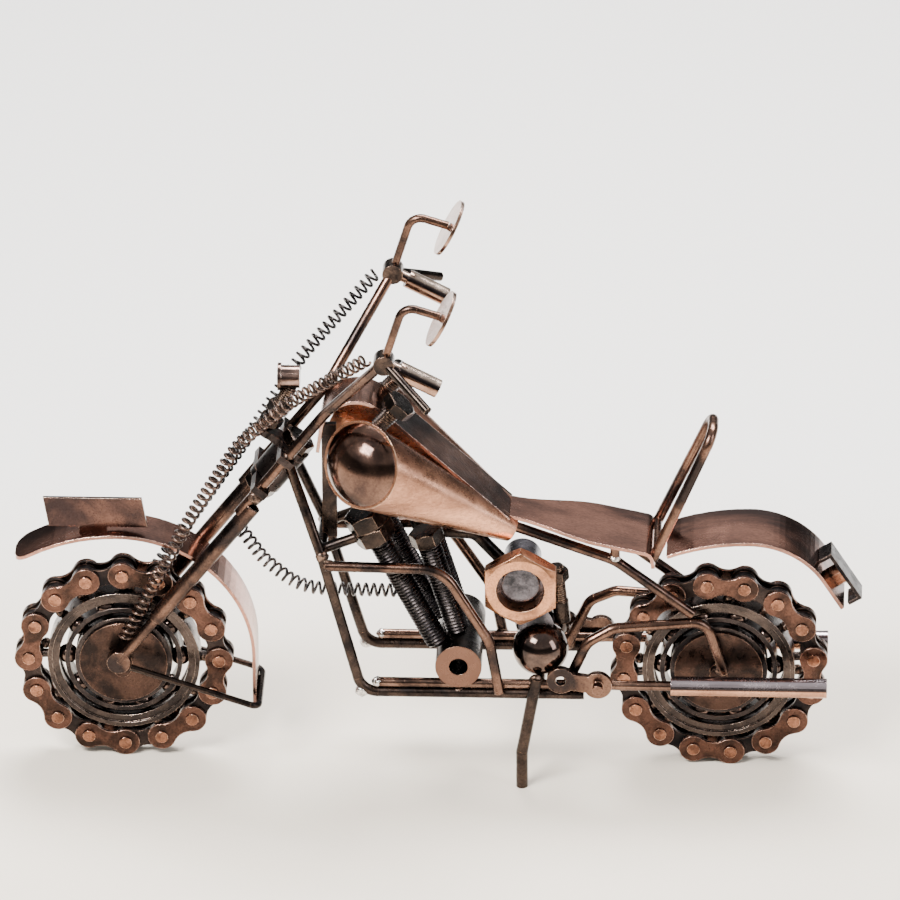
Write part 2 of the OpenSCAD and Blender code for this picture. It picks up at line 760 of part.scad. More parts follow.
module seat_stays() {
  post_top = seat_front[1] + (seat_stay_middle[0] - seat_front[0]) * tan(seat_slope);
  color(metal_brown) stand() for (s = sides) {
    rod([with_side(seat_stay_front, s), with_side(seat_stay_middle, s),
         from_rear(with_side(seat_stay_rear, s))], bar_d, bar_bend * 2);
    translate(with_side(seat_stay_middle, s)) cylinder(d = bar_d * 0.9, h = post_top - seat_stay_middle[2]);
  }
}

module chain_stays() {
  color(metal_brown) stand() for (s = sides)
    rod([with_side(chain_stay_front, s), with_side(chain_stay_rise, s), with_side(chain_stay_level, s),
         from_rear(with_side(chain_stay_drop, s)), from_rear(with_side(chain_stay_end, s))], bar_d);
}

function mouth_normal(s) =
  [-cos(mouth_turn) * cos(mouth_tip), s * sin(mouth_turn) * cos(mouth_tip), sin(mouth_tip)];

module tank_cones() {
  rim = 1.2;
  color(metal_copper) stand() for (s = sides) hull() {
    along(with_side(mouth_centre, s), mouth_normal(s))
      translate([0, 0, -rim]) cylinder(r = mouth_r, h = rim);
    along(with_side(cone_end, s), unit(with_side(cone_end, s) - with_side(mouth_centre, s)))
      cylinder(r = cone_end_r, h = rim);
  }
}

module tank_caps() {
  cap_sphere = (cap_r * cap_r + cap_h * cap_h) / (2 * cap_h);
  color(metal_brown) stand() for (s = sides)
    along(with_side(mouth_centre, s), mouth_normal(s)) intersection() {
      translate([0, 0, cap_h - cap_sphere]) sphere(r = cap_sphere);
      cylinder(r = cap_r + 1, h = cap_h + 1);
    }
}

module tank_band() {
  color(metal_sheet) stand()
    strip(walk(band_rear, band_angle,
      [[band_straight, 0], [arc_length(band_radius, band_turn), band_turn], [band_front, 0]]),
      band_t, 2 * band_half);
}

module filler_bolts() {
  color(metal_dark) stand() for (s = sides)
    translate(with_side(filler_foot, s)) rotate([0, filler_lean, 0]) {
    thread(filler_d, 1, filler_length);
    translate([0, 0, filler_length - joint_lap]) hexagon(filler_d * 1.66, filler_head_t);
  }
}

module cylinder_thread(top, foot, y) {
  span = [foot[0] - top[0], 0, foot[1] - top[1]];
  along([top[0], y, top[1]], unit(span)) thread(cylinder_d, thread_pitch, norm(span));
}

module front_cylinders() {
  color(metal_dark) stand() for (s = sides)
    cylinder_thread(front_cylinder_top, front_cylinder_foot, s * front_cylinder_y);
}

module rear_cylinders() {
  color(metal_dark) stand() for (s = sides)
    cylinder_thread(rear_cylinder_top, rear_cylinder_foot, s * rear_cylinder_y);
}

module cylinder_cap(top, foot, y, af, thickness, count) {
  up = unit([top[0] - foot[0], 0, top[1] - foot[1]]);
  along([top[0], y, top[1]], up) for (k = [0:count - 1])
    translate([0, 0, k * (thickness - joint_lap) - joint_lap]) hexagon(af, thickness);
}

module cylinder_nuts() {
  color(metal_brown) stand() for (s = sides) {
    cylinder_cap(front_cylinder_top, front_cylinder_foot, s * front_cylinder_y,
      front_nut_af, front_nut_t, 2);
    cylinder_cap(rear_cylinder_top, rear_cylinder_foot, s * rear_cylinder_y, rear_nut_af, rear_nut_t, 1);
  }
}

module crankcase_sleeve() {
  color(metal_brown) stand() difference() {
    ring(sleeve_d, sleeve_bore, sleeve_length, [sleeve_centre[0], 0, sleeve_centre[1]]);
    pipe_pair(exhaust_d - joint_lap);
  }
}

module gearbox_nut() {
  color(metal_copper) stand() translate([gearbox_centre[0], -gearbox_y, gearbox_centre[1]])
    rotate([-90, 0, 0]) difference() {
      rotate([0, 0, 30]) hexagon(gearbox_af, gearbox_nut_t);
      translate([0, 0, -1]) cylinder(d = gearbox_hole, h = gearbox_nut_t + 2);
    }
}

module gearbox_core() {
  flange_y = gearbox_nut_t - gearbox_y + flange_t / 2 - joint_lap;
  post = gearbox_centre - lower_core;
  color(metal_dark) stand() difference() {
    union() {
      across(core_d, core_ends[1] - core_ends[0],
        [gearbox_centre[0], (core_ends[0] + core_ends[1]) / 2, gearbox_centre[1]]);
      across(flange_d, flange_t, [gearbox_centre[0], flange_y, gearbox_centre[1]]);
      across(lower_core_d, lower_core_length, [lower_core[0], 0, lower_core[1]]);
      along([lower_core[0], 0, lower_core[1]], unit([post[0], 0, post[1]]))
        cylinder(d = core_post_d, h = norm(post));
    }
    ball_pair(clutch_ball_d - joint_lap);
  }
}

module ball_pair(d) {
  for (s = sides) translate(with_side(clutch_ball, s)) sphere(d = d);
}

module clutch_balls() {
  color(metal_brown) stand() ball_pair(clutch_ball_d);
}

module intake_pipe() {
  color(metal_dark) stand() rod([intake_start, intake_knee, intake_end], intake_d, 5);
}

module oil_bolt() {
  nut_t = oil_bolt_d * 0.8;
  span = oil_bolt_top - oil_bolt_foot;
  color(metal_dark) stand() along(oil_bolt_foot, unit(span)) {
    thread(oil_bolt_d, 0.8, norm(span));
    translate([0, 0, norm(span) - 1.4 * nut_t]) hexagon(oil_bolt_d * 1.4, nut_t);
    translate([0, 0, joint_lap]) cylinder(d = oil_bolt_d * 1.12, h = 2 * nut_t);
  }
}

module foot_links() {
  color(metal_brown) stand() for (s = sides)
    translate([foot_link_front[0], s * (foot_link_y + plate_thickness), foot_link_front[1]])
      rotate([0, foot_link_tilt, 0]) {
        rotate([90, 0, 0]) linear_extrude(2 * plate_thickness, center = true) difference() {
          union() {
            for (x = [0, chain_pitch]) translate([x, 0]) circle(d = plate_height);
            translate([0, -plate_height * 0.32]) square([chain_pitch, plate_height * 0.64]);
          }
          circle(d = pin_d);
        }
        across(pin_d, foot_pin_length, [chain_pitch, s * foot_pin_length / 2, 0]);
      }
}

module kickstand() {
  foot = [kickstand_knee[0], -kickstand_knee[1], -axle_height];
  color(metal_dark) stand()
    rod([with_side(kickstand_top, -1), with_side(kickstand_knee, -1), foot], kickstand_d, 6);
}

module pipe_pair(d) {
  end_x = rear_axle[0] + muffler_front + muffler_wall;
  for (s = sides)
    along([exhaust_front_x, s * rail_y, exhaust_z], [1, 0, 0]) cylinder(d = d, h = end_x - exhaust_front_x);
}

module exhaust_pipes() {
  color(metal_brown) stand() pipe_pair(exhaust_d);
}

module mufflers() {
  color(metal_copper) stand() for (s = sides)
    along([rear_axle[0] + muffler_front, s * rail_y, exhaust_z], [1, 0, 0]) difference() {
      cylinder(d = muffler_d, h = muffler_length);
      translate([0, 0, muffler_wall]) cylinder(d = muffler_bore, h = muffler_length);
      translate([0, 0, -1]) cylinder(d = exhaust_d - 0.1, h = muffler_wall + 2);
    }
}

function seat_half(t) =
  seat_nose_half + (seat_tail_half - seat_nose_half) * (1 - cos(180 * min(1, t * 1.5))) / 2;

module seat_panel() {
  steps = 16;
  plan = [for (k = [0:steps]) [seat_front[0] + seat_length * k / steps, seat_half(k / steps)]];
  back = [for (k = [steps:-1:0]) [plan[k][0], -plan[k][1]]];
  tail_x = seat_front[0] + seat_length + 10;
  color(metal_sheet) stand() intersection() {
    strip(walk(seat_front, seat_slope, [[seat_length, 0],
      [arc_length(seat_lip_r, seat_lip_turn), -seat_lip_turn], [seat_lip, 0]]), sheet_t, 3 * seat_tail_half);
    linear_extrude(200, center = true)
      polygon(concat(plan, [[tail_x, seat_tail_half], [tail_x, -seat_tail_half]], back));
  }
}

module rear_fender() {
  color(metal_sheet) stand() strip(rear_fender_line, sheet_t, 2 * rear_fender_half);
}

module backrest() {
  foot = from_rear(backrest_foot);
  top = from_rear(backrest_top);
  bar_rise = unit([top[0] - foot[0], 0, top[2] - foot[2]]) * backrest_d;
  color(metal_brown) stand() {
    rod([with_side(foot, -1), with_side(top, -1), top, foot], backrest_d, 6.2);
    across(backrest_d - 2 * weld_lap, 2 * backrest_foot[1], [foot[0], 0, foot[2]] + bar_rise);
  }
}

module tail_frame() {
  translate([tail_end[0], 0, tail_end[1]]) rotate([0, rear_fender_turn, 0]) children();
}

module tail_channel() {
  wall = sheet_t;
  color(metal_dark) stand() tail_frame() translate([tail_ahead - tail_length, -tail_width / 2,
    sheet_t / 2 - joint_lap]) difference() {
    cube([tail_length, tail_width, tail_height]);
    translate([wall, -1, -1]) cube([tail_length - 2 * wall, tail_width + 2, tail_height + 1 - wall]);
  }
}

module tail_nut() {
  color(metal_copper) stand() tail_frame()
    translate([tail_ahead - tail_length / 2, 0, sheet_t / 2 - joint_lap])
      hexagon(tail_nut_af, tail_height - sheet_t + joint_lap);
}

module rear_hub() {
  color(metal_brown) stand() hub(rear_axle, chain_stay_end[1] + 0.6);
}

module rear_inner_race() {
  color(metal_dark) stand() inner_race(rear_axle);
}

module fork_tubes() {
  foot_z = -fork_length + 2;
  tube_z = foot_z + foot_rod_length;
  color(metal_brown) stand() stem() for (s = sides) translate([-leg_offset, s * leg_y, 0]) {
    translate([0, 0, foot_z]) cylinder(d = foot_rod_d, h = foot_rod_length + 1);
    difference() {
      translate([0, 0, tube_z]) cylinder(d = leg_d, h = -leg_top_gap - tube_z);
      translate([0, 0, -leg_top_gap - leg_bore_depth]) cylinder(d = leg_bore, h = leg_bore_depth + 1);
    }
    translate([0, 0, foot_z]) across(foot_pad_d, foot_rod_d - 0.4);
  }
}

module handlebar_rods() {
  color(metal_brown) stand() bar_rods(bar_d);
}

module clamp_plate(lug) {
  reach = leg_y + bar_d * 0.9;
  bar_half = bar_d * 0.8;
  linear_extrude(clamp_t) difference() {
    union() {
      translate([-upper_offset - bar_half, -reach]) square([2 * bar_half, 2 * reach]);
      circle(d = neck_d);
      if (lug) {
        translate([-lamp_ahead, 0]) circle(d = lamp_nut_af + 1);
        translate([-lamp_ahead, -lamp_nut_af / 2]) square([lamp_ahead, lamp_nut_af]);
      }
    }
    for (s = sides) translate([-upper_offset, s * leg_y]) circle(d = bar_d - joint_lap);
    circle(d = stem_d - joint_lap);
  }
}

module fork_clamps() {
  color(metal_dark) stand() stem() {
    clamp_plate(false);
    translate([0, 0, clamp_gap]) clamp_plate(true);
  }
}

module steering_bolt() {
  color(metal_dark) stand() stem() {
    cylinder(d = stem_d, h = clamp_gap + clamp_t + joint_lap);
    for (z = [joint_lap - stem_nut_t, clamp_gap + clamp_t - joint_lap]) translate([0, 0, z])
      hexagon(stem_nut_af, stem_nut_t);
  }
}

module headlight() {
  color(metal_sheet) stand() translate([headlight_centre[0], 0, headlight_centre[1]]) rotate([0, -90, 0]) {
    translate([0, 0, -headlight_length / 2]) cylinder(d = headlight_d, h = headlight_length);
    translate([0, 0, headlight_length / 2 - joint_lap]) cylinder(d = rim_d, h = lamp_rim_t);
  }
}

module headlight_bolt() {
  nut_t = lamp_bolt_d * 0.7;
  foot = from_stem([-lamp_ahead, 0, clamp_gap + clamp_t - joint_lap]);
  head = [headlight_centre[0], 0, headlight_centre[1] - headlight_d / 2 + joint_lap];
  span = head - foot;
  color(metal_dark) stand() along(foot, unit(span)) {
    thread(lamp_bolt_d, 0.8, norm(span) + joint_lap);
    for (z = [nut_t * 0.4, nut_t * 1.9]) translate([0, 0, z]) hexagon(lamp_nut_af, nut_t);
  }
}

module bar_rods(d) {
  for (s = sides)
    rod([from_stem([-upper_offset, s * leg_y, -leg_top_gap - upper_lap]),
         from_stem([-upper_offset, s * leg_y, flare_start]),
         from_stem(with_side(bar_end - unit(bar_end - [-upper_offset, leg_y, flare_start]) * knob_core, s))],
        d, bar_d * 4);
}

module grip_stubs(d) {
  for (s = sides)
    rod([from_bar(unit(grip_end) * knob_core, s), from_bar(grip_start + unit(grip_end) * knob_core, s)], d);
}

module lever_rods(d) {
  for (s = sides)
    rod([bar_tip(s) + with_side(unit(lever_tip) * knob_core, s), bar_tip(s) + with_side(lever_tip, s)], d);
}

module stalk_rods(d) {
  for (s = sides)
    rod([from_bar(unit(stalk_knee) * knob_core, s), from_bar(stalk_knee, s),
         from_bar(mirror_centre + mirror_back, s)], d, stalk_bend);
}

module handlebar_knobs() {
  color(metal_dark) stand() difference() {
    for (s = sides) across(knob_d, knob_width, bar_tip(s));
    bar_rods(bar_d - joint_lap);
    grip_stubs(grip_stub_d - joint_lap);
    lever_rods(lever_d - joint_lap);
    stalk_rods(stalk_d - joint_lap);
  }
}

module grips() {
  color(metal_brown) stand() {
    grip_stubs(grip_stub_d);
    for (s = sides) rod([from_bar(grip_start, s), from_bar(grip_end, s)], grip_d);
  }
}

module levers() {
  color(metal_dark) stand() lever_rods(lever_d);
}

module mirror_stalks() {
  color(metal_brown) stand() stalk_rods(stalk_d);
}

module mirrors() {
  color(metal_copper) stand() for (s = sides) translate(from_bar(mirror_centre, s))
    rotate([0, 90 + mirror_lean, 0]) cylinder(d = mirror_d, h = mirror_t, center = true);
}

module fork_springs() {
  foot = [spring_foot[0], leg_y + spring_foot[1], spring_foot[2] - fork_length];
  tip = bar_end + spring_tip;
  left = [foot, left_spring_low, left_spring_middle, left_spring_high, tip];
  right = [foot, right_spring_low, right_spring_middle, right_spring_high, tip];
  color(metal_dark) stand() {
    rod([for (p = left) from_stem(with_side(p, -1))], spring_d, spring_bend);
    rod([for (p = right) from_stem(p)], spring_d, spring_bend);
  }
}

module front_fender() {
  color(metal_sheet) stand() intersection() {
    strip(fender_line, sheet_t, 2 * fender_half);
    linear_extrude(2 * wheel_base, center = true) {
      for (s = sides) translate([fender_tip_x + fender_corner, s * (fender_half - fender_corner)])
        circle(r = fender_corner);
      translate([fender_tip_x - sheet_t, fender_corner - fender_half])
        square([wheel_base, 2 * (fender_half - fender_corner)]);
      translate([fender_tip_x + fender_corner, -fender_half - 1]) square([wheel_base, 2 * fender_half + 2]);
    }
  }
}

module number_plate() {
  color(metal_dark) stand() translate([front_axle[0] + number_centre, -number_y, number_base])
    rotate([90, 0, 0]) linear_extrude(band_t, center = true) {
      polygon([[plate_slant - plate_length / 2, 0], [plate_slant + plate_length / 2, 0],
        [plate_length / 2, plate_rise], [-plate_length / 2, plate_rise]]);
      translate([-plate_neck / 2, -plate_sink]) square([plate_neck, plate_sink + joint_lap]);
    }
}

module fender_stay() {
  axle_end = [front_axle[0] + stay_start[0], leg_y + (foot_rod_d + stay_d) / 2 - weld_lap, stay_start[1]];
  back_end = [front_axle[0] + fender_rear[0] + sheet_t / 2 + stay_d / 2 - joint_lap, axle_end[1],
    fender_rear[1] + stay_rise];
  color(metal_dark) stand()
    rod([with_side(axle_end, -1), with_side(back_end, -1), back_end, axle_end], stay_d, 3);
}

module front_hub() {
  color(metal_brown) stand() hub(front_axle, leg_y);
}

module front_inner_race() {
  color(metal_dark) stand() inner_race(front_axle);
}

module cable_spring() {
  color(metal_dark) stand()
    rod([from_stem(cable_start), cable_low, cable_knee, cable_end], spring_d, cable_bend);
}

module front_outer_race() {
  color(metal_dark) stand() outer_race(front_axle, front_phase);
}

module front_outer_links() {
  color(metal_brown) stand() outer_links(front_axle, front_phase);
}

module front_inner_links() {
  color(metal_dark) stand() inner_links(front_axle, front_phase);
}

module front_pins() {
  color(metal_copper) stand() chain_pins(front_axle, front_phase);
}

module front_balls() {
  color(metal_dark) stand() balls(front_axle);
}

module front_cage() {
  color(metal_dark) stand() cage(front_axle);
}

module rear_outer_race() {
  color(metal_dark) stand() outer_race(rear_axle, rear_phase);
}

module rear_outer_links() {
  color(metal_brown) stand() outer_links(rear_axle, rear_phase);
}

module rear_inner_links() {
  color(metal_dark) stand() inner_links(rear_axle, rear_phase);
}

module rear_pins() {
  color(metal_copper) stand() chain_pins(rear_axle, rear_phase);
}

module rear_balls() {
  color(metal_dark) stand() balls(rear_axle);
}

module rear_cage() {
  color(metal_dark) stand() cage(rear_axle);
}

down_tubes();
engine_guards();
neck_sleeve();
cross_bars();
seat_stays();
chain_stays();
tank_cones();
tank_caps();
tank_band();
filler_bolts();
front_cylinders();
rear_cylinders();
cylinder_nuts();
crankcase_sleeve();
gearbox_nut();
gearbox_core();
clutch_balls();
intake_pipe();
oil_bolt();
foot_links();
kickstand();
exhaust_pipes();
mufflers();
seat_panel();
rear_fender();
backrest();
tail_channel();
tail_nut();
rear_hub();
rear_inner_race();
cable_spring();
fork_tubes();
handlebar_rods();
fork_clamps();
steering_bolt();
headlight();
headlight_bolt();
handlebar_knobs();
grips();
levers();
mirror_stalks();
mirrors();
fork_springs();
front_fender();
number_plate();
fender_stay();
front_hub();
front_inner_race();
front_outer_race();
front_outer_links();
front_inner_links();
front_pins();
front_balls();
front_cage();
rear_outer_race();
rear_outer_links();
rear_inner_links();
rear_pins();
rear_balls();
rear_cage();
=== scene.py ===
import json
import math
import random

import bpy
from mathutils import Matrix, Vector, noise


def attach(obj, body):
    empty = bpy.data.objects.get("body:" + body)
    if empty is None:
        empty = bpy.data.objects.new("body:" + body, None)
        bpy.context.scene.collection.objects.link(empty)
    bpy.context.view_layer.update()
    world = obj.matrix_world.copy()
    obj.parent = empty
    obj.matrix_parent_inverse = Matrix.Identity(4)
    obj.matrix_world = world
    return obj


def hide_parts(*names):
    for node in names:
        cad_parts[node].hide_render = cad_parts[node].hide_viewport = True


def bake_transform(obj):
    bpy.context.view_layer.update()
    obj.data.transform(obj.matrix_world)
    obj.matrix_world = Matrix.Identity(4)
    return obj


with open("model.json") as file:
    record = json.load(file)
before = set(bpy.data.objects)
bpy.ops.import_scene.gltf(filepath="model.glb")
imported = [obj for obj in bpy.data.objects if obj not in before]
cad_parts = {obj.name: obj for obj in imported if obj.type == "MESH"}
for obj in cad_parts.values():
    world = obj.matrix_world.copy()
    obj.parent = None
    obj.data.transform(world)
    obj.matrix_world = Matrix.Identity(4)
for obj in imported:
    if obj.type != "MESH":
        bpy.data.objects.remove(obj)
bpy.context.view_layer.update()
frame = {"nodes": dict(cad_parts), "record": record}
nodes = frame["nodes"]
joints = {j["name"]: j for j in frame["record"]["behaviour"]["joints"]}
STEM = Vector(joints["steering"]["pos_m"])
AXIS = Vector(joints["steering"]["axis"]).normalized()
AHEAD = Vector((AXIS.z, 0, -AXIS.x))
FRONT = Vector(joints["front_wheel_spin"]["pos_m"])
REAR = Vector(joints["rear_wheel_spin"]["pos_m"])
MM = 0.001


def from_stem(x, y, z):
    """A point given in millimetres along and across the steering stem."""
    return STEM + (AHEAD * x + Vector((0, y, 0)) + AXIS * z) * MM


def from_middle(x, y, z):
    """A point given in millimetres from the middle of the wheelbase at the front axle's height."""
    return Vector(((FRONT.x + REAR.x) / 2 + x * MM, y * MM, FRONT.z + z * MM))


def from_rear(x, y, z):
    """A point given in millimetres from the rear axle."""
    return REAR + Vector((x, y, z)) * MM


# ---------------------------------------------------------------- materials
class Graph:
    """A short way to write a material's node graph."""

    def __init__(self, name):
        self.material = bpy.data.materials.new(name)
        self.material.use_nodes = True
        self.tree = self.material.node_tree
        self.tree.nodes.clear()
        self.coords = self.tree.nodes.new("ShaderNodeTexCoord")

    def link(self, value, socket):
        if isinstance(value, bpy.types.NodeSocket):
            self.tree.links.new(value, socket)
        else:
            socket.default_value = value

    def math(self, kind, a, b=0.0, clamp=False):
        n = self.tree.nodes.new("ShaderNodeMath")
        n.operation, n.use_clamp = kind, clamp
        self.link(a, n.inputs[0])
        self.link(b, n.inputs[1])
        return n.outputs[0]

    def place(self, scale=(1, 1, 1), turn=(0, 0, 0)):
        n = self.tree.nodes.new("ShaderNodeMapping")
        self.link(self.coords.outputs["Object"], n.inputs["Vector"])
        n.inputs["Scale"].default_value = scale
        n.inputs["Rotation"].default_value = turn
        return n.outputs[0]

    def noise(self, scale, detail=4.0, rough=0.55, vector=None, warp=0.0):
        n = self.tree.nodes.new("ShaderNodeTexNoise")
        self.link(vector or self.coords.outputs["Object"], n.inputs["Vector"])
        n.inputs["Scale"].default_value = scale
        n.inputs["Detail"].default_value = detail
        n.inputs["Roughness"].default_value = rough
        n.inputs["Distortion"].default_value = warp
        return n.outputs["Fac"]

    def cells(self, scale):
        n = self.tree.nodes.new("ShaderNodeTexVoronoi")
        self.link(self.coords.outputs["Object"], n.inputs["Vector"])
        n.inputs["Scale"].default_value = scale
        return n.outputs["Distance"]

    def ramp(self, fac, low, high, a=0.0, b=1.0):
        n = self.tree.nodes.new("ShaderNodeMapRange")
        n.interpolation_type = "SMOOTHSTEP"
        self.link(fac, n.inputs["Value"])
        for key, v in zip(("From Min", "From Max", "To Min", "To Max"), (low, high, a, b)):
            n.inputs[key].default_value = v
        return n.outputs["Result"]

    def mix(self, fac, a, b):
        n = self.tree.nodes.new("ShaderNodeMix")
        n.data_type = "RGBA"
        self.link(fac, n.inputs["Factor"])
        self.link(a, n.inputs["A"])
        self.link(b, n.inputs["B"])
        return n.outputs["Result"]

    def facing(self, direction):
        """How far the surface faces a direction of the object, from -1 to 1."""
        n = self.tree.nodes.new("ShaderNodeVectorMath")
        n.operation = "DOT_PRODUCT"
        self.tree.links.new(self.coords.outputs["Normal"], n.inputs[0])
        n.inputs[1].default_value = Vector(direction).normalized()
        return n.outputs["Value"]

    def edge(self, radius):
        """1 along edges, where the plating is rubbed and a highlight is painted, 0 elsewhere, and the
        rounded normal.
        """
        bevel = self.tree.nodes.new("ShaderNodeBevel")
        bevel.samples = 4
        bevel.inputs["Radius"].default_value = radius
        geometry = self.tree.nodes.new("ShaderNodeNewGeometry")
        n = self.tree.nodes.new("ShaderNodeVectorMath")
        n.operation = "DOT_PRODUCT"
        self.tree.links.new(bevel.outputs["Normal"], n.inputs[0])
        self.tree.links.new(geometry.outputs["Normal"], n.inputs[1])
        return self.ramp(n.outputs["Value"], 0.995, 0.85), bevel.outputs["Normal"]

    def finish(self, color, rough, height, depth, normal=None, metallic=1.0):
        bump = self.tree.nodes.new("ShaderNodeBump")
        bump.inputs["Strength"].default_value = 0.6
        bump.inputs["Distance"].default_value = depth
        self.link(height, bump.inputs["Height"])
        if normal is not None:
            self.link(normal, bump.inputs["Normal"])
        shader = self.tree.nodes.new("ShaderNodeBsdfPrincipled")
        self.link(color, shader.inputs["Base Color"])
        self.link(rough, shader.inputs["Roughness"])
        self.link(bump.outputs[0], shader.inputs["Normal"])
        shader.inputs["Metallic"].default_value = metallic
        out = self.tree.nodes.new("ShaderNodeOutputMaterial")
        self.tree.links.new(shader.outputs[0], out.inputs["Surface"])
        return self.material


def rgb(*values):
    return (*values, 1.0)


def plated(name, dark, light, rubbed_edge_glint_tone, rough=(0.2, 0.45), patch=90, balance=0.5, grain=1400,
           depth=0.00006, streak=(1, 1, 1), turn=(0, 0, 0), edge=0.00035, pits=0.5, lay=None):
    """Antique plating: two tones in patches, fine grain, pits, streaks, bright edges that are partly rubbed
    plating and partly a painted highlight, and tones by facing direction, which are painted shade and
    painted reflections on most looks.
    """
    g = Graph(name)
    along = g.place(streak, turn)
    patches = g.ramp(g.noise(patch, 5, 0.6, along, 0.4), balance - 0.16, balance + 0.16)
    fine = g.noise(grain, 6, 0.65, along)
    color = g.mix(patches, rgb(*dark), rgb(*light))
    color = g.mix(g.ramp(fine, 0.35, 0.7, 0.0, 0.35), color, rgb(*[v * 0.35 for v in dark]))
    pitted = g.ramp(g.cells(900), 0.22, 0.08, 0.0, pits)
    color = g.mix(pitted, color, rgb(*[v * 0.3 for v in dark]))
    # Bright edges: partly rubbed-through plating, partly a painted highlight along the rims.
    rubbed_edge_glint, rounded = g.edge(edge)
    rubbed_edge_glint = g.math("MULTIPLY", rubbed_edge_glint, g.ramp(g.noise(500, 4), 0.35, 0.6, 0.25, 1.0), True)
    color = g.mix(rubbed_edge_glint, color, rgb(*rubbed_edge_glint_tone))
    # Tones by facing direction: on most looks these are painted shade and painted reflections.
    if lay:
        for direction, low, high, tone in lay:
            color = g.mix(g.ramp(g.facing(direction), low, high), color, rgb(*tone))
    hazy = g.ramp(g.noise(patch * 2.3, 5, 0.6), 0.3, 0.7, *rough)
    hazy = g.math("ADD", hazy, g.ramp(fine, 0.3, 0.75, -0.04, 0.07), True)
    height = g.math("SUBTRACT", g.math("MULTIPLY", fine, 0.5), g.math("MULTIPLY", pitted, 0.8))
    height = g.math("ADD", height, g.math("MULTIPLY", g.noise(220, 3), 0.6))
    return g.finish(color, hazy, height, depth, rounded)


BLACK, BRONZE = (0.018, 0.015, 0.015), (0.075, 0.052, 0.042)

rod_dark = plated("rod_dark", BLACK, BRONZE, (0.34, 0.2, 0.14), rough=(0.16, 0.38))
rod_brown = plated("rod_brown", (0.03, 0.023, 0.022), (0.2, 0.112, 0.08), (0.62, 0.4, 0.3),
                   rough=(0.13, 0.32), patch=60, balance=0.52)
cast_dark = plated("cast_dark", BLACK, (0.05, 0.038, 0.036), (0.28, 0.18, 0.14), rough=(0.22, 0.42),
                   depth=0.00012)
thread_dark = plated("thread_dark", (0.01, 0.009, 0.01), (0.035, 0.03, 0.03), (0.26, 0.24, 0.24),
                     rough=(0.2, 0.4), edge=0.00018)
link_brown = plated("link_brown", (0.035, 0.022, 0.018), (0.125, 0.062, 0.045), (0.72, 0.43, 0.33),
                    rough=(0.18, 0.4), patch=130, edge=0.0005)
link_dark = plated("link_dark", (0.012, 0.011, 0.012), (0.045, 0.033, 0.03), (0.2, 0.13, 0.1),
                   rough=(0.24, 0.45))
pin_copper = plated("pin_copper", (0.07, 0.036, 0.027), (0.34, 0.155, 0.095), (0.9, 0.56, 0.4),
                    rough=(0.16, 0.36), patch=220, balance=0.45)
race_gray = plated("race_gray", (0.03, 0.025, 0.024), (0.085, 0.064, 0.056), (0.5, 0.38, 0.32),
                   rough=(0.16, 0.34))
race_dark = plated("race_dark", (0.012, 0.011, 0.012), (0.05, 0.04, 0.038), (0.3, 0.22, 0.19),
                   rough=(0.2, 0.4))
ball_dark = plated("ball_dark", (0.045, 0.036, 0.034), (0.16, 0.105, 0.085), (0.5, 0.5, 0.5),
                   rough=(0.06, 0.16), depth=0.00001, pits=0.1)
hub_brown = plated("hub_brown", (0.02, 0.015, 0.014), (0.075, 0.043, 0.033), (0.5, 0.3, 0.22),
                   rough=(0.2, 0.42), patch=120)
# Tank cones: a painted dark reflection on faces turned up and a painted orange shade on faces turned down.
cone_copper = plated("cone_copper", (0.26, 0.125, 0.08), (0.72, 0.37, 0.235), (1.0, 0.7, 0.52),
                     rough=(0.2, 0.36), patch=40, balance=0.42, grain=900, depth=0.00008,
                     streak=(0.35, 1.6, 1.6), turn=(0, 0.55, 0), pits=0.25,
                     lay=[((0.1, 0, 1), 0.55, 0.95, (0.17, 0.088, 0.065)),
                          ((0, 0, -1), 0.5, 0.95, (0.34, 0.16, 0.1))])
dome_dark = plated("dome_dark", (0.04, 0.027, 0.025), (0.2, 0.115, 0.085), (0.8, 0.55, 0.42),
                   rough=(0.07, 0.2), patch=45, balance=0.52, depth=0.00002, pits=0.25)
sheet_pink = plated("sheet_pink", (0.075, 0.046, 0.042), (0.5, 0.25, 0.185), (0.95, 0.7, 0.58),
                    rough=(0.1, 0.26), patch=26, depth=0.00003, streak=(0.5, 1.4, 1), pits=0.25)
sheet_band = plated("sheet_band", (0.07, 0.055, 0.058), (0.5, 0.29, 0.225), (0.9, 0.66, 0.56),
                    rough=(0.1, 0.24), patch=32, balance=0.52, depth=0.00003, pits=0.2)
# Gearbox nut: faces turned to +Y, toward the core between the nuts, are darkened as painted shade.
nut_orange = plated("nut_orange", (0.2, 0.095, 0.06), (0.66, 0.31, 0.17), (1.0, 0.7, 0.5),
                    rough=(0.2, 0.4), patch=80, balance=0.42, pits=0.3,
                    lay=[((0, 1, 0), 0.2, 0.8, (0.05, 0.036, 0.032))])
core_gray = plated("core_gray", (0.03, 0.03, 0.034), (0.15, 0.14, 0.16), (0.5, 0.46, 0.5),
                   rough=(0.2, 0.4), patch=120)
bolt_black = plated("bolt_black", (0.012, 0.011, 0.011), (0.05, 0.036, 0.03), (0.45, 0.3, 0.22),
                    rough=(0.16, 0.34))
sleeve_brown = plated("sleeve_brown", (0.012, 0.011, 0.011), (0.05, 0.038, 0.034), (0.75, 0.5, 0.38),
                      rough=(0.2, 0.4),
                      lay=[((0, -1, 0), 0.7, 0.95, (0.15, 0.08, 0.058)),
                           ((0, 1, 0), 0.7, 0.95, (0.14, 0.075, 0.055))])
pipe_brown = plated("pipe_brown", (0.045, 0.03, 0.026), (0.28, 0.165, 0.12), (0.9, 0.62, 0.48),
                    rough=(0.12, 0.28), patch=80)
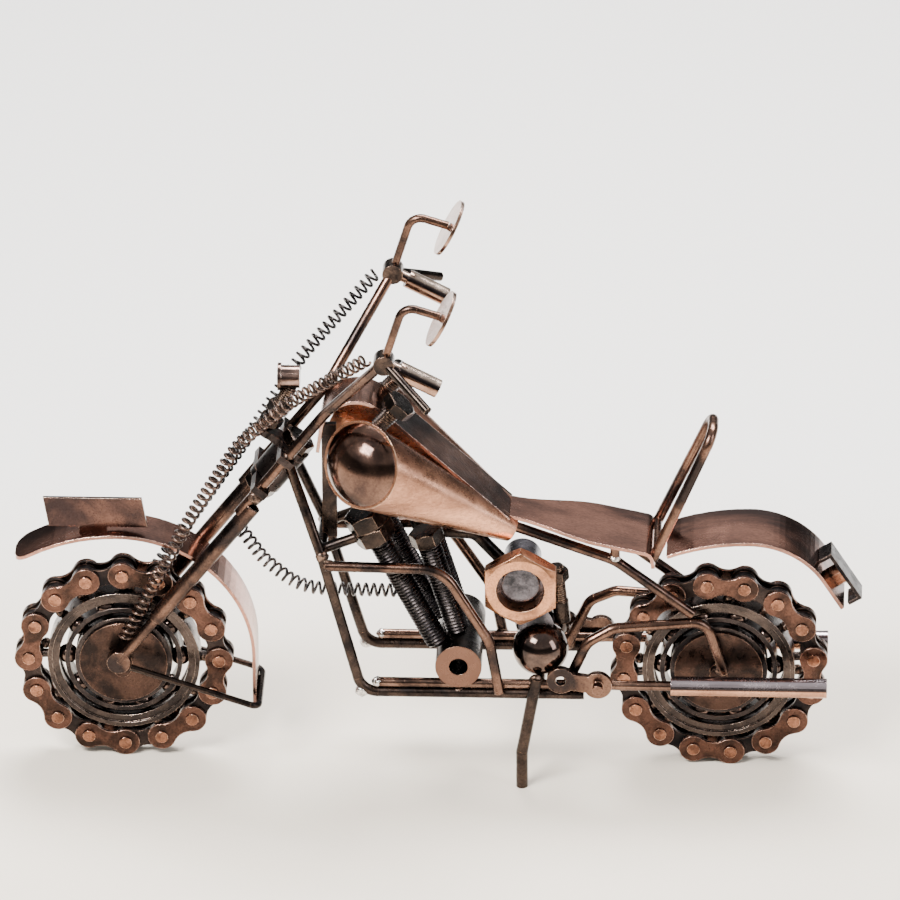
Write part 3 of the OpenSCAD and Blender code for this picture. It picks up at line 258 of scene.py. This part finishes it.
# Mufflers: a painted reflection by facing, with a dark band where faces turn just above sideways and
# lavender-grey above it.
muffler_painted_reflection = plated("muffler_painted_reflection", (0.36, 0.18, 0.115), (0.62, 0.33, 0.21), (0.95, 0.75, 0.62),
                     rough=(0.14, 0.28), patch=60, balance=0.4, depth=0.00003, pits=0.15,
                     lay=[((0, 0, 1), 0.02, 0.14, (0.04, 0.03, 0.03)),
                          ((0, 0, 1), 0.2, 0.5, (0.4, 0.34, 0.36))])
knob_dark = plated("knob_dark", (0.02, 0.017, 0.017), (0.11, 0.075, 0.06), (0.5, 0.33, 0.25),
                   rough=(0.14, 0.32))
# Grips: painted reflection bands by facing, dark where faces turn just above sideways and cream on top.
grip_tone = plated("grip_tone", (0.16, 0.09, 0.065), (0.4, 0.24, 0.17), (0.9, 0.7, 0.58),
                   rough=(0.12, 0.28), patch=90, balance=0.45, depth=0.00003, pits=0.15,
                   lay=[((0, 0, 1), 0.05, 0.3, (0.04, 0.03, 0.03)),
                        ((0, 0, 1), 0.5, 0.75, (0.66, 0.52, 0.43))])
# Mirrors: faces turned toward -Y are toned a darker brown, and faces turned down get a painted shade.
mirror_face = plated("mirror_face", (0.5, 0.34, 0.28), (0.8, 0.62, 0.54), (0.7, 0.45, 0.34),
                     rough=(0.12, 0.26), patch=50, balance=0.45, depth=0.00002, pits=0.1,
                     lay=[((0, -1, 0), 0.1, 0.5, (0.32, 0.2, 0.15)),
                          ((0, 0, -1), 0.55, 0.8, (0.12, 0.08, 0.065))])
plate_tone = plated("plate_tone", (0.035, 0.024, 0.024), (0.16, 0.085, 0.066), (0.8, 0.6, 0.5),
                    rough=(0.14, 0.3), patch=45)
# Headlight: faces turned down get a painted shade.
lamp_tone = plated("lamp_tone", (0.07, 0.05, 0.046), (0.34, 0.22, 0.18), (0.85, 0.64, 0.54),
                   rough=(0.1, 0.24), patch=120, balance=0.45,
                   lay=[((0, 0, -1), 0.1, 0.6, (0.07, 0.05, 0.045))])
wire_gun = plated("wire_gun", (0.03, 0.028, 0.03), (0.13, 0.115, 0.115), (0.5, 0.47, 0.45),
                  rough=(0.18, 0.34), patch=200)
wire_brown = plated("wire_brown", (0.04, 0.03, 0.027), (0.19, 0.125, 0.1), (0.5, 0.36, 0.28),
                    rough=(0.16, 0.32), patch=160)
wire_black = plated("wire_black", (0.012, 0.012, 0.013), (0.06, 0.055, 0.055), (0.3, 0.28, 0.27),
                    rough=(0.2, 0.4), patch=160)
weld_silver = plated("weld_silver", (0.42, 0.4, 0.39), (0.86, 0.83, 0.8), (0.95, 0.93, 0.9),
                     rough=(0.14, 0.34), patch=900, balance=0.45, grain=2600, depth=0.00014)
weld_dark = plated("weld_dark", (0.045, 0.034, 0.03), (0.26, 0.17, 0.13), (0.6, 0.45, 0.36),
                   rough=(0.2, 0.45), patch=700, grain=2600, depth=0.00016)

LOOKS = {
    rod_dark: "down_tubes cross_bars kickstand",
    rod_brown: ("engine_guards seat_stays chain_stays handlebar_rods mirror_stalks fork_tubes "
                "backrest foot_links"),
    cast_dark: "neck_sleeve fork_clamps",
    bolt_black: ("steering_bolt headlight_bolt filler_bolts cylinder_nuts oil_bolt levers "
                 "fender_stay intake_pipe"),
    thread_dark: "front_cylinders rear_cylinders",
    link_brown: "front_outer_links rear_outer_links",
    link_dark: "front_inner_links rear_inner_links",
    pin_copper: "front_pins rear_pins tail_nut",
    race_gray: "front_outer_race rear_outer_race",
    race_dark: "front_inner_race rear_inner_race front_cage rear_cage tail_channel",
    ball_dark: "front_balls rear_balls clutch_balls",
    hub_brown: "front_hub rear_hub",
    cone_copper: "tank_cones",
    dome_dark: "tank_caps",
    sheet_pink: "seat_panel rear_fender front_fender",
    sheet_band: "tank_band",
    nut_orange: "gearbox_nut",
    core_gray: "gearbox_core",
    sleeve_brown: "crankcase_sleeve",
    pipe_brown: "exhaust_pipes",
    muffler_painted_reflection: "mufflers",
    knob_dark: "handlebar_knobs",
    grip_tone: "grips",
    mirror_face: "mirrors",
    plate_tone: "number_plate",
    lamp_tone: "headlight",
    wire_gun: "cable_spring",
    wire_brown: "fork_springs",
}
for look, names in LOOKS.items():
    for name in names.split():
        mesh = nodes[name].data
        mesh.materials.clear()
        mesh.materials.append(look)


# ---------------------------------------------------------------- made pieces
def make(name, verts, faces, look, body=None, smooth=True):
    mesh = bpy.data.meshes.new(name)
    mesh.from_pydata([tuple(v) for v in verts], [], faces)
    mesh.update()
    if smooth:
        mesh.polygons.foreach_set("use_smooth", [True] * len(mesh.polygons))
    obj = bpy.data.objects.new(name, mesh)
    bpy.context.scene.collection.objects.link(obj)
    mesh.materials.append(look)
    if body:
        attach(obj, body)
    return obj


def rounded(points, bend, step=0.0006):
    """Points along a path whose corners are arcs of the given radius."""
    path = []
    pieces = len(points) - 1
    cuts = [0.0] * len(points)
    dirs = [(points[i + 1] - points[i]).normalized() for i in range(pieces)]
    for i in range(1, pieces):
        cuts[i] = bend * math.tan(dirs[i - 1].angle(dirs[i]) / 2)
    for i in range(pieces):
        a, b = points[i] + dirs[i] * cuts[i], points[i + 1] - dirs[i] * cuts[i + 1]
        count = max(1, int((b - a).length / step))
        path += [a.lerp(b, k / count) for k in range(count + 1)]
        if i + 1 < pieces:
            turn = dirs[i].angle(dirs[i + 1])
            normal = dirs[i].cross(dirs[i + 1]).normalized()
            centre = b + normal.cross(dirs[i]) * bend
            count = max(1, int(bend * turn / step))
            spin = [Matrix.Rotation(turn * k / count, 3, normal) for k in range(1, count)]
            path += [centre + m @ (b - centre) for m in spin]
    return path


def transported(path):
    """A frame of two cross directions at each point that never twists."""
    last = len(path) - 1
    dirs = [(path[min(i + 1, last)] - path[max(i - 1, 0)]).normalized() for i in range(last + 1)]
    side = dirs[0].orthogonal().normalized()
    out = []
    for i, d in enumerate(dirs):
        side = (side - d * side.dot(d)).normalized()
        out.append((d, side, d.cross(side)))
    return out


def tube(path, radius, sides):
    """Vertices and faces of a round tube along a path."""
    frames = transported(path)
    turns = [2 * math.pi * k / sides for k in range(sides)]
    verts = [p + (u * math.cos(t) + w * math.sin(t)) * radius
             for p, (_, u, w) in zip(path, frames) for t in turns]
    faces = [(i * sides + k, i * sides + (k + 1) % sides,
              (i + 1) * sides + (k + 1) % sides, (i + 1) * sides + k)
             for i in range(len(path) - 1) for k in range(sides)]
    faces += [tuple(reversed(range(sides))), tuple((len(path) - 1) * sides + k for k in range(sides))]
    return verts, faces


def coil(points, bend, outer, wire, pitch, per_turn=18, sides=7):
    """A wound spring along a path, kept inside a tube of the outer diameter."""
    path = rounded(points, bend)
    frames = transported(path)
    lengths = [0.0]
    for a, b in zip(path, path[1:]):
        lengths.append(lengths[-1] + (b - a).length)
    total = lengths[-1]
    ends = wire * 0.7
    turns = (total - 2 * ends) / pitch
    radius = outer / 2 - wire / 2 - 0.00003
    line, at = [], 0
    count = int(turns * per_turn)
    for k in range(count + 1):
        s = ends + (total - 2 * ends) * k / count
        while at < len(lengths) - 2 and lengths[at + 1] < s:
            at += 1
        t = (s - lengths[at]) / max(1e-9, lengths[at + 1] - lengths[at])
        p = path[at].lerp(path[at + 1], t)
        _, u, w = frames[at]
        angle = 2 * math.pi * k / per_turn
        line.append(p + (u * math.cos(angle) + w * math.sin(angle)) * radius)
    return tube(line, wire / 2, sides)


def spring_path(side):
    near = [(-14.9, 13, -20), (-19.2, 14.6, 13), (-16.4, 19.2, 38)]
    far = [(-9, 13, -14), (-10.8, 14.8, 10), (-13, 20, 37)]
    points = [(-3.8, 11.4, -75.0)] + (near if side < 0 else far) + [(-9.2, 31.1, 73.0)]
    return [from_stem(x, side * y, z) for x, y, z in points]


SPRING = dict(bend=0.040, outer=0.005, wire=0.001, pitch=0.0027)
left = make("fork_spring_left", *coil(spring_path(-1), **SPRING), wire_brown, "fork")
right = make("fork_spring_right", *coil(spring_path(1), **SPRING), wire_black, "fork")
for obj in (left, right):
    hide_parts("fork_springs")

cable_points = [from_stem(1.9, -5.4, -17.1), from_middle(-53, -6, 41.6),
                from_middle(-40.5, -5.6, 30.2), from_middle(-5.4, -4.4, 29)]
cable = make("cable_coil", *coil(cable_points, **(SPRING | {"bend": 0.022})), wire_gun)
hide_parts("cable_spring")
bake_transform(cable)


def beads(name, spots, look, body, seed):
    """Hand-laid weld beads: lumpy drops with ripples, each a centre and three half sizes in millimetres."""
    rng = random.Random(seed)
    verts, faces = [], []
    rings, around = 14, 20
    for centre, size in spots:
        start = len(verts)
        shift = Vector((rng.uniform(0, 90), rng.uniform(0, 90), rng.uniform(0, 90)))
        for i in range(rings + 1):
            polar = math.pi * i / rings
            for k in range(around):
                turn = 2 * math.pi * k / around
                d = Vector((math.sin(polar) * math.cos(turn), math.sin(polar) * math.sin(turn),
                            math.cos(polar)))
                lump = 0.86 + 0.2 * noise.noise(d * 1.7 + shift) + 0.06 * noise.noise(d * 6 + shift)
                verts.append(centre + Vector((d.x * size[0], d.y * size[1], d.z * size[2])) * lump * MM)
        for i in range(rings):
            for k in range(around):
                a, b = start + i * around + k, start + i * around + (k + 1) % around
                faces.append((a, b, b + around, a + around))
    obj = make(name, verts, faces, look, body)
    return obj


both = (-1, 1)
beads("frame_silver_welds",
      [(from_middle(29.6, s * 6.2, 56.0), (2.6, 1.5, 1.6)) for s in both]
      + [(from_middle(66.3, s * 9.2, 45.6), (2.3, 2.2, 1.6)) for s in both]
      + [(from_middle(-14.2, s * 16.5, 0.2), (2.2, 2.0, 2.0)) for s in both]
      + [(from_middle(-19.6, s * 16.6, -3.4), (2.6, 2.3, 2.3)) for s in both],
      weld_silver, "frame", 3)
beads("frame_dark_welds",
      [(from_middle(-32.8, s * 13.2, 46.8), (2.8, 2.4, 2.8)) for s in both]
      + [(from_middle(-30.4, s * 14.6, 44.2), (2.6, 1.6, 2.2)) for s in both]
      + [(from_middle(49.8, s * 15.8, -2.2), (3.0, 2.0, 2.4)) for s in both]
      + [(from_middle(26.9, s * 18.6, 0.4), (2.4, 2.0, 2.3)) for s in both]
      + [(from_rear(0.6, s * 8.1, 2.6), (2.4, 1.6, 2.6)) for s in both]
      + [(from_middle(13.4, s * 16.4, -3.2), (2.6, 2.0, 2.0)) for s in both]
      + [(from_middle(39.6, -19.3, 3.4), (2.6, 1.6, 2.0))],
      weld_dark, "frame", 5)
beads("fork_dark_welds",
      [(from_stem(-1.4, s * 10.8, -2.4), (3.0, 2.9, 3.2)) for s in both]
      + [(from_stem(-2.2, s * 10.8, 17.6), (2.4, 2.4, 1.6)) for s in both],
      weld_dark, "fork", 7)
BEAD_RING = 0.0270
BEAD_COUNT = 12
for wheel, body, seed in ((FRONT, "front_wheel", 11), (REAR, "rear_wheel", 13)):
    rng = random.Random(seed)
    spots = []
    for k in range(BEAD_COUNT):
        a = 2 * math.pi * (k + rng.uniform(-0.3, 0.3)) / BEAD_COUNT
        offset = Vector((math.cos(a) * BEAD_RING, rng.uniform(-0.0012, 0.0012), math.sin(a) * BEAD_RING))
        spots.append((wheel + offset, (1.9, 2.6, 1.9)))
    beads(body + "_beads", spots, weld_dark, body, 17)


# ---------------------------------------------------------------- floor, light and camera
def plain(name, tone, far_tone, rough, scale, spread, depth):
    """A pale table top that turns to a whiter tone behind the object."""
    g = Graph(name)
    color = g.mix(g.ramp(g.noise(scale, 5), 0.3, 0.7), rgb(*tone), rgb(*[v * spread for v in tone]))
    place = g.tree.nodes.new("ShaderNodeSeparateXYZ")
    g.tree.links.new(g.coords.outputs["Object"], place.inputs[0])
    color = g.mix(g.ramp(place.outputs["Y"], 0.03, 0.22), color, rgb(*far_tone))
    fine = g.noise(scale * 40, 4)
    return g.finish(color, g.ramp(fine, 0.3, 0.7, rough - 0.06, rough + 0.06), fine, depth, metallic=0.0)


table = plain("table_cream", tone=(0.90, 0.82, 0.71), far_tone=(0.93, 0.92, 0.91), rough=0.5,
              scale=9, spread=0.96, depth=0.00008)
REACH = 9.0
corners = [(-REACH, -REACH, 0), (REACH, -REACH, 0), (REACH, REACH, 0), (-REACH, REACH, 0)]
table_top = make("table_top", corners, [(0, 1, 2, 3)], table, smooth=False)


def light(name, at, aim, power, width, height, tone):
    data = bpy.data.lights.new(name, "AREA")
    data.shape, data.size, data.size_y, data.energy, data.color = "RECTANGLE", width, height, power, tone
    obj = bpy.data.objects.new(name, data)
    obj.location = at
    obj.rotation_mode = "QUATERNION"
    obj.rotation_quaternion = (Vector(aim) - Vector(at)).to_track_quat("-Z", "Y")
    bpy.context.scene.collection.objects.link(obj)


light("key", at=(-0.5, -0.6, 1.0), aim=(0, 0, 0.06), power=30, width=0.5, height=0.35,
      tone=(1.0, 0.97, 0.92))
light("fill", at=(1.0, -0.5, 0.55), aim=(0, 0, 0.08), power=6, width=0.35, height=0.7,
      tone=(0.94, 0.96, 1.0))
light("top", at=(0.15, 0.45, 1.1), aim=(0, 0.15, 0.0), power=34, width=0.9, height=0.4,
      tone=(1.0, 0.98, 0.96))

# Pale and dark bands by height, which show as reflections in the plating.
world = bpy.data.worlds.new("studio")
world.use_nodes = True
sky = world.node_tree
direction = sky.nodes.new("ShaderNodeTexCoord")
split = sky.nodes.new("ShaderNodeSeparateXYZ")
sky.links.new(direction.outputs["Generated"], split.inputs[0])
bands = sky.nodes.new("ShaderNodeValToRGB")
low, high = bands.color_ramp.elements
low.position, low.color = 0.0, (0.30, 0.28, 0.27, 1)
high.position, high.color = 1.0, (0.95, 0.95, 0.96, 1)
for at, tone in ((0.12, 0.16), (0.34, 0.13), (0.42, 0.85), (0.7, 0.55)):
    bands.color_ramp.elements.new(at).color = (tone, tone * 0.98, tone * 0.96, 1)
sky.links.new(split.outputs["Z"], bands.inputs["Fac"])
sky.links.new(bands.outputs["Color"], sky.nodes["Background"].inputs["Color"])
sky.nodes["Background"].inputs["Strength"].default_value = 0.9
bpy.context.scene.world = world

# Fitted to the photograph: place in metres, turns in radians, lens and sensor in millimetres.
CAMERA_AT = Vector((0.1525, -3.2895, 1.9265))
SENSOR_MM, LENS_MM = 36, 445
yaw, pitch, roll = 0.0451, 0.5021, -0.0072
camera_data = bpy.data.cameras.new("camera")
camera_data.sensor_width = SENSOR_MM
camera_data.lens = LENS_MM
camera_data.clip_end = 20
camera = bpy.data.objects.new("camera", camera_data)
look = Vector((-math.sin(yaw) * math.cos(pitch), math.cos(yaw) * math.cos(pitch), -math.sin(pitch)))
flat = Vector((math.cos(yaw), math.sin(yaw), 0))
upward = flat.cross(look)
right_way = flat * math.cos(roll) + upward * math.sin(roll)
up_way = upward * math.cos(roll) - flat * math.sin(roll)
turned = Matrix((right_way, up_way, -look)).transposed()
camera.matrix_world = Matrix.Translation(CAMERA_AT) @ turned.to_4x4()
bpy.context.scene.collection.objects.link(camera)
bpy.context.scene.camera = camera

bpy.context.view_layer.update()
